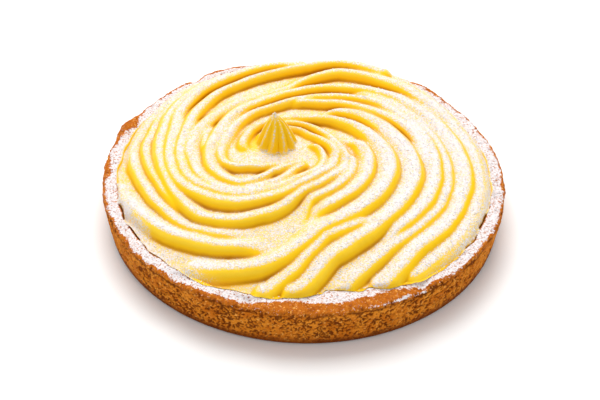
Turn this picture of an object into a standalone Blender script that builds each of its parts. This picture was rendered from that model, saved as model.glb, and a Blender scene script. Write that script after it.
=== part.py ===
"""Lemon tart: a baked shortcrust shell filled with lemon cream that is piped over its top.

The cream is laid in long ropes.  Each starts at the rim and curls inwards, anticlockwise as
seen from above, and the last end is pulled up into a ribbed peak a little off the middle.
The frame stands on the table: origin under the middle of the shell, +Z up, metres, with the
front of the tart, where most ropes start, towards -Y.
"""
import math
from typing import NamedTuple

import bpy
import numpy as np
from mathutils import Vector, noise

MM = 0.001

# Both pieces are turned in the same number of steps, so their facing walls have equal facets.
SECTORS = 104
SHARP_ANGLE = 50

# Shell
RIM_RADIUS = 110 * MM
FOOT_RADIUS = 107 * MM
RIM_HEIGHT = 24 * MM
FLOOR_THICKNESS = 5 * MM
FOOT_ROUNDING = 1.6 * MM
RIM_ROUNDING = 2.4 * MM
OPENING_RADIUS = 102 * MM
OPENING_DRAFT = 2.5 * MM
WALL_LEVELS = 7
EDGE_ZONE = 1 * MM
CRUMB_RELIEF = 0.5 * MM
CRUMB_SIZE = 8 * MM
SHELL_COLOUR = (0.50, 0.21, 0.06, 1.0)

# The rim is wider where the cream stops short of it, at the front.
WIDE_RIM_ANGLE = 279
WIDE_RIM_SPREAD = 20
WIDE_RIM_EXTRA = 8 * MM

# Flakes missing from the rim's outer edge, and raised places where the depth is below zero:
# angle, half width, depth.
CHIP_REACH = 6 * MM
CHIP_INSET = 0.6
CHIPS = (
    (52, 10.0, -2.0 * MM),
    (122, 16.0, -1.9 * MM),
    (127, 2.5, 1.8 * MM),
    (160, 5.0, -2.4 * MM),
    (234, 2.5, 1.6 * MM),
    (255, 3.0, 1.8 * MM),
    (305, 3.0, 1.5 * MM),
    (352, 4.0, 1.2 * MM),
)

# Cream
FIT_GAP = 0.3 * MM
EYE_X, EYE_Y = -12.5 * MM, 6 * MM
SWIRL_RADIUS = 97 * MM
EDGE_LIFT = -1.0 * MM
DOME_RISE = 15 * MM
BACK_LIFT = 5 * MM
BACK_FROM_Y, BACK_TO_Y = 20 * MM, 100 * MM
BACK_HEAP_ANGLE = 60
BACK_HEAP_SPREAD = 32
BACK_HEAP_RISE = 3.5 * MM
BACK_ROPES_TALLER = 0.35
EDGE_DROP_WIDTH = 3 * MM
EDGE_HEIGHT = 0.4 * MM
CREAM_RINGS = 47
CREAM_COLOUR = (0.90, 0.62, 0.17, 1.0)

# Ropes.  Each leans towards the front, and outwards at the sides: its crest is off its middle
# line by a share of its half width.  It is thinner and lower close to the eye.
ROPE_BLEND = 0.8 * MM
ROPE_FULLNESS = 0.6
ROPE_LEAN = 0.42
SIDE_LEAN = 0.75
ROPE_START_REACH = 20
RIM_START_SHARE = 0.8
RIM_START_FROM = 90 * MM
RIM_RISE_ANGLE = 10
MIDDLE_RISE_ANGLE = 22
ROPE_FADE_ANGLE = 18
FULL_WIDTH_FROM, LEAST_WIDTH = 50 * MM, 0.15
FULL_HEIGHT_FROM, LEAST_HEIGHT = 40 * MM, 0.45

# Places where the ropes melt together: x, y, reach and how much lower the ropes are.
CALM_PLACES = (
    (-36 * MM, 10 * MM, 15 * MM, 0.6),
    (19 * MM, -10 * MM, 8 * MM, 0.6),
)

# Peak
PEAK_X, PEAK_Y = -15.2 * MM, 8 * MM
PEAK_HEIGHT = 19.5 * MM
PEAK_RADIUS = 11.6 * MM
PEAK_BULGE = 1.7
PEAK_RIBS = 9
RIB_DEPTH = 0.2
RIB_TWIST = 0.5
TIP_HEIGHT = 2.5 * MM
TIP_WIDTH = 0.12
TIP_SHIFT = -1.8 * MM

# Round lines about the middle of the tart drift towards the eye of the swirl as they shrink.
# Spokes cross them every SPOKE_STEP degrees, and a rope states its radius at each spoke.
FIRST_SPOKE = 15
SPOKE_STEP = 30


class Rope(NamedTuple):
    """One piped rope, in degrees and millimetres."""

    start: tuple  # angle and radius of its first end
    radii: tuple  # radius at each spoke that it then meets, anticlockwise
    height: float
    half_width: float
    end: tuple = ()  # angle and radius of its last end, where that is past the last spoke


ROPES = (
    Rope((190, 100), (98, 86, 73), 5.4, 6.4, end=(264, 70)),
    Rope((269, 56), (42, 38, 34), 4.8, 5.6, end=(362, 26)),
    Rope((274, 55), (49, 45, 42, 35), 5.2, 6.2, end=(384, 27)),
    Rope((236, 96), (85, 60, 55, 52, 46, 37, 27, 25, 25, 25, 22), 5.8, 7.0),
    Rope((259, 97), (65,), 5.0, 5.8, end=(317, 60)),
    Rope((268, 95), (75, 66, 64, 58, 50), 5.6, 7.0, end=(432, 31)),
    Rope((283, 95), (92, 79, 80, 78, 75, 66), 4.2, 5.2),
    Rope((294, 97), (87, 88, 87, 81, 68, 53, 47, 43, 45, 41, 22, 17, 16), 5.4, 6.8),
    Rope((297, 79), (74, 74, 73, 69, 55, 42, 38, 36, 38, 26, 18, 16), 5.2, 6.0),
    Rope((305, 97), (96, 95, 95, 92, 88, 59, 57, 58, 54, 47, 31, 20, 17), 4.8, 6.6),
    Rope((345, 68), (70, 60, 48), 5.0, 5.2, end=(462, 42)),
    Rope((63, 98), (97, 85, 76, 65, 61, 50, 36, 26, 24, 19, 12), 5.0, 6.0),
    Rope((93, 96), (94, 89, 73, 67, 56, 41, 30, 27, 26, 20, 16, 16, 17, 17, 16), 5.2, 6.4),
    Rope((116, 94), (93, 81, 72, 69, 52, 35, 32, 31, 25, 23, 22, 21, 20), 4.8, 5.6),
    Rope((127, 98), (97, 90, 77, 72), 3.4, 4.4),
    Rope((132, 100), (100, 98, 85, 78, 63), 3.6, 4.6),
    Rope((142, 56), (50, 47, 45), 3.4, 3.6),
)


def smooth_step(value):
    """Ease from 0 to 1 as value runs from 0 to 1."""
    t = np.clip(value, 0.0, 1.0)
    return t * t * (3.0 - 2.0 * t)


def smooth_max(first, second, blend):
    """The larger of two heights, with the crease between them rounded."""
    share = np.clip(0.5 + 0.5 * (first - second) / blend, 0.0, 1.0)
    return second + (first - second) * share + blend * share * (1.0 - share)


def angle_apart(degrees, other):
    """Difference of two angles in degrees, from -180 to 180."""
    return (degrees - other + 180.0) % 360.0 - 180.0


def opening_radius(angle):
    """Radius of the shell's opening, level with the rim, at an angle in radians."""
    apart = angle_apart(np.degrees(angle), WIDE_RIM_ANGLE) / WIDE_RIM_SPREAD
    return OPENING_RADIUS - WIDE_RIM_EXTRA * np.exp(-apart ** 2)


# ---- The swirl ----


def swirl_coordinates(x, y):
    """Radius and angle of a point on the round lines that drift towards the eye."""
    reach = SWIRL_RADIUS ** 2 - EYE_X ** 2 - EYE_Y ** 2
    along = (x - EYE_X) * EYE_X + (y - EYE_Y) * EYE_Y
    apart = (x - EYE_X) ** 2 + (y - EYE_Y) ** 2
    share = (along + np.sqrt(along ** 2 + reach * apart)) / reach
    angle = np.arctan2(y - (1.0 - share) * EYE_Y, x - (1.0 - share) * EYE_X)
    return share * SWIRL_RADIUS, np.degrees(angle) % 360.0


def rope_stations(rope):
    """Angles, in degrees, and radii that a rope passes, its start first."""
    start_angle, start_radius = rope.start
    spokes_passed = math.floor((start_angle - FIRST_SPOKE) / SPOKE_STEP) + 1
    next_spoke = FIRST_SPOKE + SPOKE_STEP * spokes_passed
    angles = [start_angle] + [next_spoke + SPOKE_STEP * i for i in range(len(rope.radii))]
    radii = [start_radius, *rope.radii]
    if rope.end:
        angles.append(rope.end[0])
        radii.append(rope.end[1])
    return np.array(angles, float), np.array(radii, float) * MM


def rope_radius(angles, radii, at):
    """Radius at the given angles, on a smooth curve that never overshoots a station."""
    span = np.diff(angles)
    slope = np.diff(radii) / span
    tangent = np.zeros(len(radii))
    tangent[0] = slope[0]
    tangent[-1] = slope[-1]
    for i in range(1, len(radii) - 1):
        if slope[i - 1] * slope[i] > 0.0:
            before = 2.0 * span[i] + span[i - 1]
            after = span[i] + 2.0 * span[i - 1]
            tangent[i] = (before + after) / (before / slope[i - 1] + after / slope[i])
    i = np.clip(np.searchsorted(angles, at) - 1, 0, len(span) - 1)
    t = (at - angles[i]) / span[i]
    chord = (1.0 + 2.0 * t) * (1.0 - t) ** 2 * radii[i] + t * t * (3.0 - 2.0 * t) * radii[i + 1]
    bow = t * (1.0 - t) ** 2 * tangent[i] - t * t * (1.0 - t) * tangent[i + 1]
    return chord + span[i] * bow


def share_of_full(radius, full_from, least):
    """Share of a rope's full size at a radius: least at the eye, 1 from full_from outwards."""
    return least + (1.0 - least) * np.clip(radius / full_from, 0.0, 1.0)


def rope_relief(rope, radius, degrees):
    """Height that one rope adds: a rounded crown across it.

    At the rim it starts with a low round end, and farther in it grows out of the cream.
    """
    angles, radii = rope_stations(rope)
    first, last = angles[0], angles[-1]
    at_rim = radii[0] > RIM_START_FROM
    start_share, rise_angle = (RIM_START_SHARE, RIM_RISE_ANGLE) if at_rim else (0.0, MIDDLE_RISE_ANGLE)
    relief = np.zeros_like(radius)
    for turn in range(math.ceil(last / 360.0) + 1):
        at = degrees + 360.0 * turn
        on_rope = np.clip(at, first, last)
        middle = rope_radius(angles, radii, on_rope)
        ahead = rope_radius(angles, radii, np.clip(on_rope + 1.0, first, last))
        behind = rope_radius(angles, radii, np.clip(on_rope - 1.0, first, last))
        slant = (ahead - behind) / math.radians(2.0) / middle
        across = (radius - middle) / np.sqrt(1.0 + slant ** 2)
        before_start = np.radians(np.maximum(first - at, 0.0)) * middle
        half_width = rope.half_width * MM * share_of_full(middle, FULL_WIDTH_FROM, LEAST_WIDTH)
        side = across / half_width
        spoke = np.radians(degrees)
        outwards = np.clip(SIDE_LEAN * np.cos(spoke) ** 2 - np.sin(spoke), -1.0, 1.0)
        side = side - ROPE_LEAN * outwards * (1.0 - np.clip(side, -1.0, 1.0) ** 2)
        share = np.hypot(side, before_start / half_width)
        crown = rope.height * MM * share_of_full(middle, FULL_HEIGHT_FROM, LEAST_HEIGHT)
        crown = crown * np.clip(1.0 - share ** 2, 0.0, 1.0) ** ROPE_FULLNESS
        risen = smooth_step((at - first) / rise_angle)
        crown *= start_share + (1.0 - start_share) * risen
        crown *= smooth_step((last - at) / ROPE_FADE_ANGLE)
        near = (at > first - ROPE_START_REACH) & (at < last)
        relief = np.where(near, np.maximum(relief, crown), relief)
    return relief


def peak_height(x, y):
    """Height of the ribbed peak above its foot, below zero outside it."""
    out = np.hypot(x - PEAK_X, y - PEAK_Y) / PEAK_RADIUS
    middle = PEAK_X + TIP_SHIFT * np.clip(1.0 - out, 0.0, 1.0)
    out = np.hypot(x - middle, y - PEAK_Y) / PEAK_RADIUS
    angle = np.arctan2(y - PEAK_Y, x - middle)
    rib = np.abs(np.cos(PEAK_RIBS / 2.0 * (angle + RIB_TWIST * out)))
    out = out / (1.0 - RIB_DEPTH * (1.0 - rib))
    return PEAK_HEIGHT * (1.0 - out ** PEAK_BULGE) + TIP_HEIGHT * np.exp(-out / TIP_WIDTH)


def cream_height(x, y):
    """Height of the cream's top surface above the table."""
    radius, degrees = swirl_coordinates(x, y)
    relief = np.zeros_like(radius)
    for rope in ROPES:
        relief = smooth_max(relief, rope_relief(rope, radius, degrees), ROPE_BLEND)
    for calm_x, calm_y, reach, lower in CALM_PLACES:
        apart = np.hypot(x - calm_x, y - calm_y) / reach
        relief *= 1.0 - lower * np.exp(-apart ** 2)
    at_back = smooth_step((y - BACK_FROM_Y) / (BACK_TO_Y - BACK_FROM_Y))
    relief *= 1.0 + BACK_ROPES_TALLER * at_back
    apart = angle_apart(degrees, BACK_HEAP_ANGLE) / BACK_HEAP_SPREAD
    lift = BACK_LIFT * at_back + BACK_HEAP_RISE * np.exp(-apart ** 2)
    share = radius / SWIRL_RADIUS
    dome = RIM_HEIGHT + EDGE_LIFT + DOME_RISE * (1.0 - share ** 2) + lift * share ** 4
    top = dome + np.maximum(relief, peak_height(x, y))
    inside = opening_radius(np.arctan2(y, x)) - FIT_GAP - np.hypot(x, y)
    outward = np.clip(1.0 - inside / EDGE_DROP_WIDTH, 0.0, 1.0)
    drop = 1.0 - np.sqrt(1.0 - outward ** 2)
    return top + (RIM_HEIGHT + EDGE_HEIGHT - top) * drop


# ---- Meshes ----


def turned_mesh(name, profile):
    """A closed mesh turned about the Z axis from (radius, height) points, top to bottom."""
    outline = bpy.data.meshes.new(name)
    edges = [(i, i + 1) for i in range(len(profile) - 1)]
    outline.from_pydata([(radius, 0.0, height) for radius, height in profile], edges, [])
    guide = bpy.data.objects.new(name, outline)
    bpy.context.scene.collection.objects.link(guide)
    turn = guide.modifiers.new("turn", "SCREW")
    turn.axis = "Z"
    turn.angle = math.tau
    turn.steps = SECTORS
    turn.render_steps = SECTORS
    turn.use_merge_vertices = True
    turn.merge_threshold = 0.00001
    # The diagonals run inwards anticlockwise, as the ropes do.
    split = guide.modifiers.new("split", "TRIANGULATE")
    split.quad_method = "FIXED_ALTERNATE"
    bpy.context.view_layer.update()
    evaluated = guide.evaluated_get(bpy.context.evaluated_depsgraph_get())
    mesh = bpy.data.meshes.new_from_object(evaluated)
    bpy.data.objects.remove(guide, do_unlink=True)
    bpy.data.meshes.remove(outline)
    mesh.name = name
    return mesh


def mesh_points(mesh):
    """The mesh's points as an array of x, y and z."""
    points = np.empty(len(mesh.vertices) * 3)
    mesh.vertices.foreach_get("co", points)
    return points.reshape(-1, 3)


def move_points(mesh, x, y, z):
    """Move the mesh's points to new places and shade it smooth."""
    mesh.vertices.foreach_set("co", np.column_stack((x, y, z)).ravel())
    mesh.update()
    mesh.shade_smooth()
    mesh.set_sharp_from_angle(angle=math.radians(SHARP_ANGLE))


def crumb_relief(points, seed):
    """Uneven relief of baked crumb at each point."""
    shift = Vector((seed, 0.0, 0.0))
    values = [noise.noise(Vector(point) / CRUMB_SIZE + shift) for point in points]
    return CRUMB_RELIEF * np.array(values)


def chip_depth(angle):
    """Depth of the flakes missing from the rim's edge at angles in radians."""
    depth = np.zeros_like(angle)
    for degrees, half_width, deepest in CHIPS:
        apart = angle_apart(np.degrees(angle), degrees) / half_width
        depth += deepest * np.exp(-apart ** 2)
    return depth


def shell_profile():
    """The shell's section: floor, opening, rounded rim, wall that narrows down, round foot."""
    profile = [
        (0.0, FLOOR_THICKNESS),
        (OPENING_RADIUS - OPENING_DRAFT, FLOOR_THICKNESS),
        (OPENING_RADIUS, RIM_HEIGHT),
        ((OPENING_RADIUS + RIM_RADIUS) / 2.0, RIM_HEIGHT),
    ]
    shoulder = RIM_HEIGHT - RIM_ROUNDING
    for turn in (0.0, 45.0, 90.0):
        inward = RIM_ROUNDING * (1.0 - math.sin(math.radians(turn)))
        profile.append((RIM_RADIUS - inward, shoulder + RIM_ROUNDING * math.cos(math.radians(turn))))
    for level in range(1, WALL_LEVELS):
        share = level / WALL_LEVELS
        radius = RIM_RADIUS + (FOOT_RADIUS - RIM_RADIUS) * share
        profile.append((radius, shoulder + (FOOT_ROUNDING - shoulder) * share))
    for turn in (0.0, 45.0, 90.0):
        inward = FOOT_ROUNDING * (1.0 - math.cos(math.radians(turn)))
        profile.append((FOOT_RADIUS - inward, FOOT_ROUNDING * (1.0 - math.sin(math.radians(turn)))))
    return profile + [(0.0, 0.0)]


def crust_mesh():
    """The shell, turned, then given its wider rim, its chips and its baked relief."""
    mesh = turned_mesh("crust", shell_profile())
    points = mesh_points(mesh)
    x, y, z = points.T
    radius = np.hypot(x, y)
    angle = np.arctan2(y, x)
    within_edge = radius < OPENING_RADIUS + EDGE_ZONE
    opening = (radius > EDGE_ZONE) & within_edge & (z > FOOT_ROUNDING)
    outside = ~within_edge & (z > FOOT_ROUNDING + EDGE_ZONE)
    near_rim = smooth_step((z - RIM_HEIGHT + CHIP_REACH) / CHIP_REACH) * outside
    chips = chip_depth(angle) * near_rim
    relief = crumb_relief(points, 7.0) * outside
    moved = radius - (OPENING_RADIUS - opening_radius(angle)) * opening - CHIP_INSET * chips + relief
    height = z - chips + relief * near_rim
    move_points(mesh, moved * np.cos(angle), moved * np.sin(angle), height)
    return mesh


def cream_mesh():
    """The filling, turned as a plain disc, then fitted to the shell and given its piped top."""
    disc = [(i / CREAM_RINGS, 1.0) for i in range(CREAM_RINGS + 1)] + [(1.0, 0.0), (0.0, 0.0)]
    mesh = turned_mesh("lemon_cream", disc)
    x, y, z = mesh_points(mesh).T
    share = np.hypot(x, y)
    angle = np.arctan2(y, x)
    on_top = z > EDGE_ZONE
    reach = share * (opening_radius(angle) - FIT_GAP - np.where(on_top, 0.0, OPENING_DRAFT))
    # The top's rings draw together at the peak instead of the middle.
    drawn = (1.0 - share) * on_top
    x = reach * np.cos(angle) + drawn * PEAK_X
    y = reach * np.sin(angle) + drawn * PEAK_Y
    move_points(mesh, x, y, np.where(on_top, cream_height(x, y), FLOOR_THICKNESS + FIT_GAP))
    return mesh


# ---- Materials and objects ----


def plain_material(name, colour, roughness):
    """A Principled material of one colour."""
    material = bpy.data.materials.new(name)
    material.use_nodes = True
    shader = material.node_tree.nodes["Principled BSDF"]
    shader.inputs["Base Color"].default_value = colour
    shader.inputs["Roughness"].default_value = roughness
    shader.inputs["Metallic"].default_value = 0.0
    material.diffuse_color = colour
    return material


def add_object(collection, mesh, material):
    """Place a mesh as an object of the same name."""
    mesh.materials.append(material)
    collection.objects.link(bpy.data.objects.new(mesh.name, mesh))


def main():
    """Clear the scene and build the tart."""
    for old in list(bpy.data.objects):
        bpy.data.objects.remove(old, do_unlink=True)
    collection = bpy.data.collections.new("lemon_tart")
    bpy.context.scene.collection.children.link(collection)
    add_object(collection, crust_mesh(), plain_material("baked_crust", SHELL_COLOUR, 0.85))
    add_object(collection, cream_mesh(), plain_material("lemon_cream", CREAM_COLOUR, 0.45))


main()
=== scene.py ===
"""The look of a lemon tart: a baked shortcrust shell, piped lemon cream and icing sugar.

Metres, +Z up, origin under the middle of the shell, the front of the tart towards -Y.  The
shell and the cream stand in for the solids of the same names, at the same places and sizes.
"""
import logging
import math
from dataclasses import dataclass
from enum import Enum

import bpy
import numpy as np
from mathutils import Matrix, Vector, noise


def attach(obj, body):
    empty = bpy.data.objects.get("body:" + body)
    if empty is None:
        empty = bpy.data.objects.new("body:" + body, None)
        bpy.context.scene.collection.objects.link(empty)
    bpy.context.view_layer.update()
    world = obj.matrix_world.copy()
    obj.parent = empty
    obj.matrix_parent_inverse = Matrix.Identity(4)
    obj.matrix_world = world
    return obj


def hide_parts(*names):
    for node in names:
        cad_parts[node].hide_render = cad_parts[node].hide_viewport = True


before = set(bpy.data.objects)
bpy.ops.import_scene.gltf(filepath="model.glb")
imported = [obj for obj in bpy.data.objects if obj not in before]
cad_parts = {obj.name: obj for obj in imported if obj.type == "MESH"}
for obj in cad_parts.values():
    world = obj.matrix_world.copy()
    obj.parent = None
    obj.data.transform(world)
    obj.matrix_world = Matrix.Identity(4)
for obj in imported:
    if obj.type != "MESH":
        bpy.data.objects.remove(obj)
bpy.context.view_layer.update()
LOG = logging.getLogger("lemon_tart")

MM = 0.001
RIM_HEIGHT = 24 * MM
FLOOR_THICKNESS = 5 * MM
FIT_GAP = 0.3 * MM

# How each finer layer of noise differs from the one before it.
ROUGHNESS = 0.9
LACUNARITY = 2.0

# A stretch of the rim with this sharpness is level for most of its length.
LEVEL = 4

# Points less than this from a level or a radius count as on it.
CLOSE = 0.1 * MM

# Keeps a length from zero and a place on a grid from its last line.
TINY = 0.001

Limits = tuple[float, float]
Triple = tuple[float, float, float]
Colour = tuple[float, float, float, float]
Value = bpy.types.NodeSocket | Colour | Triple | float


# ---- Numbers and noise ----


def ramp(value: np.ndarray, low: np.ndarray | float, high: np.ndarray | float) -> np.ndarray:
    """Ease from 0 to 1 as a value runs from one limit to another, up or down."""
    share = np.clip((value - low) / (high - low), 0.0, 1.0)
    return share * share * (3.0 - 2.0 * share)


def smooth_max(first: np.ndarray, second: np.ndarray, blend: float) -> np.ndarray:
    """The larger of two heights, blended where they are less than blend apart."""
    share = np.clip(0.5 + 0.5 * (first - second) / blend, 0.0, 1.0)
    return second + (first - second) * share + blend * share * (1.0 - share)


def angle_apart(degrees: np.ndarray, other: float) -> np.ndarray:
    """Difference of two angles in degrees, from -180 to 180."""
    return (degrees - other + 180.0) % 360.0 - 180.0


def flat_points(x: np.ndarray, y: np.ndarray) -> np.ndarray:
    """Rows of x, y and a height of 0."""
    return np.column_stack((x, y, np.zeros_like(x)))


@dataclass(frozen=True)
class Unevenness:
    """Noise from about -1 to 1 with features of one size, in metres.

    The seed moves the noise, so that two of them differ, and each octave past the first adds
    a finer layer.
    """

    size: float
    seed: float
    octaves: int = 1

    def at(self, points: np.ndarray) -> np.ndarray:
        """The noise at some points.

        Args:
            points: Rows of x, y and z in metres.

        Returns:
            One value for each point.
        """
        places = points / self.size + np.array([self.seed, -self.seed, 2.0 * self.seed])
        if self.octaves == 1:
            return np.array([noise.noise(place) for place in places])
        return np.array([noise.fractal(place, ROUGHNESS, LACUNARITY, self.octaves)
                         for place in places])


@dataclass(frozen=True)
class Stretch:
    """A stretch of the rim, in degrees, and by how much something changes there."""

    angle: float
    half_width: float
    amount: float = 1.0

    def share(self, degrees: np.ndarray, sharpness: int = 2) -> np.ndarray:
        """1 in the middle of the stretch, falling to 0 past its ends."""
        return np.exp(-(angle_apart(degrees, self.angle) / self.half_width) ** sharpness)


@dataclass(frozen=True)
class Spot:
    """A round place on the tart, in metres, and by how much something changes there."""

    x: float
    y: float
    reach: float
    amount: float

    def share(self, x: np.ndarray, y: np.ndarray) -> np.ndarray:
        """1 in the middle of the spot, falling to 0 past its reach."""
        return np.exp(-(np.hypot(x - self.x, y - self.y) / self.reach) ** 2)


@dataclass(frozen=True)
class HeightMap:
    """Heights on a square grid centred on the tart, so that they can be softened evenly."""

    rows: np.ndarray
    cell: float

    def softened(self, distance: float) -> "HeightMap":
        """The same heights, each averaged with those round it.

        Args:
            distance: How far the averaging reaches, as the spread of a bell curve.

        Returns:
            A map on the same grid.
        """
        reach = round(3.0 * distance / self.cell)
        steps = np.arange(-reach, reach + 1)
        weights = np.exp(-0.5 * (steps * self.cell / distance) ** 2)
        weights /= weights.sum()
        rows = self.rows
        for _ in range(2):
            rows = np.array([np.convolve(row, weights, mode="same") for row in rows]).T
        return HeightMap(rows, self.cell)

    def at(self, x: np.ndarray, y: np.ndarray) -> np.ndarray:
        """Heights at some places, blended from the four grid points round each.

        Args:
            x: The places' x in metres.
            y: The places' y in metres.

        Returns:
            The height at each place.
        """
        last = len(self.rows) - 1
        column = np.clip(x / self.cell + last / 2.0, 0.0, last - TINY)
        row = np.clip(y / self.cell + last / 2.0, 0.0, last - TINY)
        i, j = column.astype(int), row.astype(int)
        right, up = column - i, row - j
        below = self.rows[j, i] * (1.0 - right) + self.rows[j, i + 1] * right
        above = self.rows[j + 1, i] * (1.0 - right) + self.rows[j + 1, i + 1] * right
        return below * (1.0 - up) + above * up


# ---- Meshes ----


class Stored(Enum):
    """What the meshes store at their points, from 0 to 1, for the materials to read."""

    SUGAR = "sugar"
    # Painted shade on the crust: in its creases, pits and groove, at its foot and along the crack.
    PAINTED_SHADE = "hollow"
    BROWNED = "browned"
    # How far the cream stands above its surroundings, which sets its painted shade in creases and
    # painted highlight on crests.
    CREST = "crest"
    # Painted shadow along the crack, on the cream's edge.
    CRACK_SHADOW = "stain"


def only(piece: bpy.types.Object) -> None:
    """Deselect everything, then select a piece and make it active.

    Args:
        piece: The piece.
    """
    bpy.ops.object.select_all(action="DESELECT")
    piece.select_set(True)
    bpy.context.view_layer.objects.active = piece


def mesh_points(piece: bpy.types.Object) -> np.ndarray:
    """The places of a piece's points.

    Args:
        piece: The piece.

    Returns:
        Rows of x, y and z.
    """
    points = np.empty(len(piece.data.vertices) * 3)
    piece.data.vertices.foreach_get("co", points)
    return points.reshape(-1, 3)


def move_points(piece: bpy.types.Object, points: np.ndarray) -> None:
    """Move the piece's points to new places."""
    piece.data.vertices.foreach_set("co", points.ravel())
    piece.data.update()


def point_normals(piece: bpy.types.Object) -> np.ndarray:
    """The smooth normals at a piece's points.

    Args:
        piece: The piece.

    Returns:
        Rows of x, y and z.
    """
    normals = np.empty(len(piece.data.vertices) * 3)
    piece.data.vertex_normals.foreach_get("vector", normals)
    return normals.reshape(-1, 3)


def store(piece: bpy.types.Object, name: Stored, values: np.ndarray) -> None:
    """Store a number at each point, held between 0 and 1."""
    layer = piece.data.attributes.new(name.value, "FLOAT", "POINT")
    layer.data.foreach_set("value", np.clip(values, 0.0, 1.0))


def stored(piece: bpy.types.Object, name: Stored) -> np.ndarray:
    """The numbers that a piece stores at its points.

    Args:
        piece: The piece.
        name: Which of its numbers.

    Returns:
        One value for each point.
    """
    values = np.empty(len(piece.data.vertices))
    piece.data.attributes[name.value].data.foreach_get("value", values)
    return values


def turned(name: str, section: list[tuple[float, float]], steps: int) -> bpy.types.Object:
    """A closed piece turned about the Z axis.

    Args:
        name: Name of the piece.
        section: Radius and height of each point, from the axis round to the axis again.
        steps: Number of steps in the full turn.

    Returns:
        The piece, with its faces pointing out.
    """
    bpy.ops.object.select_all(action="DESELECT")
    bpy.ops.mesh.primitive_plane_add(size=1 * MM, location=(section[0][0], 0.0, section[0][1]))
    piece = bpy.context.object
    piece.name = name
    bpy.ops.object.transform_apply(location=True, rotation=True, scale=True)
    bpy.ops.object.mode_set(mode="EDIT")
    bpy.ops.mesh.select_all(action="SELECT")
    bpy.ops.mesh.merge(type="CENTER")
    for (radius, height), (next_radius, next_height) in zip(section, section[1:]):
        step = (next_radius - radius, 0.0, next_height - height)
        bpy.ops.mesh.extrude_region_move(TRANSFORM_OT_translate={"value": step})
    bpy.ops.mesh.select_all(action="SELECT")
    bpy.ops.mesh.spin(steps=steps, angle=math.tau, center=(0.0, 0.0, 0.0), axis=(0.0, 0.0, 1.0))
    bpy.ops.mesh.select_all(action="SELECT")
    bpy.ops.mesh.remove_doubles(threshold=0.01 * MM)
    bpy.ops.mesh.normals_make_consistent(inside=False)
    bpy.ops.object.mode_set(mode="OBJECT")
    return piece


def finished(piece: bpy.types.Object, material: bpy.types.Material) -> None:
    """Give a piece its material and its body, and report it.

    Args:
        piece: The piece.
        material: What it is made of.
    """
    piece.data.materials.clear()
    piece.data.materials.append(material)
    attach(piece, "root")
    LOG.info("%s: %d faces", piece.name, len(piece.data.polygons))


# ---- Shell ----


# Stretches along which the cream has come away from the shell.
CRACKS = (Stretch(209, 19), Stretch(333, 17))

# Flakes missing from the rim's outer edge, by their depth, and raised places, below zero.
CHIPS = (
    Stretch(52, 10.0, -2.0 * MM),
    Stretch(122, 16.0, -1.9 * MM),
    Stretch(127, 2.5, 1.8 * MM),
    Stretch(160, 5.0, -2.4 * MM),
    Stretch(234, 2.5, 1.6 * MM),
    Stretch(255, 3.0, 1.8 * MM),
    Stretch(305, 3.0, 1.5 * MM),
    Stretch(352, 4.0, 1.2 * MM),
)

# Stretches where the rim's sugar stops farther in from its outer edge.
BARE_STRETCHES = (
    Stretch(158, 5, 4 * MM),
    Stretch(181, 3, 2.5 * MM),
    Stretch(245, 12, 0.8 * MM),
    Stretch(269, 15, 6.5 * MM),
    Stretch(293, 11, 6.5 * MM),
)


@dataclass(frozen=True)
class Opening:
    """The round opening of the shell, narrower where the rim is wide at the front.

    Waves are counted round the rim.  Those of a crack have heights as shares of its width.
    """

    radius: float = 102 * MM
    draft: float = 2.5 * MM
    wide_rim: Stretch = Stretch(279.0, 20.0, 8 * MM)
    wave_height: float = 0.28 * MM
    waves: tuple[int, ...] = (7, 17, 29, 43)
    crack_waves: tuple[tuple[int, float], ...] = ((31, 0.5), (73, 0.4))
    crack_share: float = 0.75

    def radius_at(self, angle: np.ndarray) -> np.ndarray:
        """Radius level with the rim.

        Args:
            angle: Angles in radians.

        Returns:
            The radius at each angle.
        """
        narrower = self.wide_rim.amount * self.wide_rim.share(np.degrees(angle))
        waves = sum(np.sin(count * angle + count) for count in self.waves)
        return self.radius - narrower + self.wave_height * waves

    def parted(self, angle: np.ndarray) -> np.ndarray:
        """How far the cream has come away from the shell.

        Args:
            angle: Angles in radians.

        Returns:
            The share of the widest crack at each angle, from 0 to 1.
        """
        cracked = sum(crack.share(np.degrees(angle), LEVEL) for crack in CRACKS)
        waves = sum(height * np.sin(count * angle) for count, height in self.crack_waves)
        return cracked * ramp(self.crack_share + waves, 0.0, 1.0)


@dataclass(frozen=True)
class ShellPoints:
    """The shell's points as they are turned, and which way each faces.

    Blotch is a slow unevenness that the rim's band, browning and sugar share.
    """

    points: np.ndarray
    radius: np.ndarray
    angle: np.ndarray
    degrees: np.ndarray
    z: np.ndarray
    out: np.ndarray
    up: np.ndarray
    blotch: np.ndarray


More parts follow.
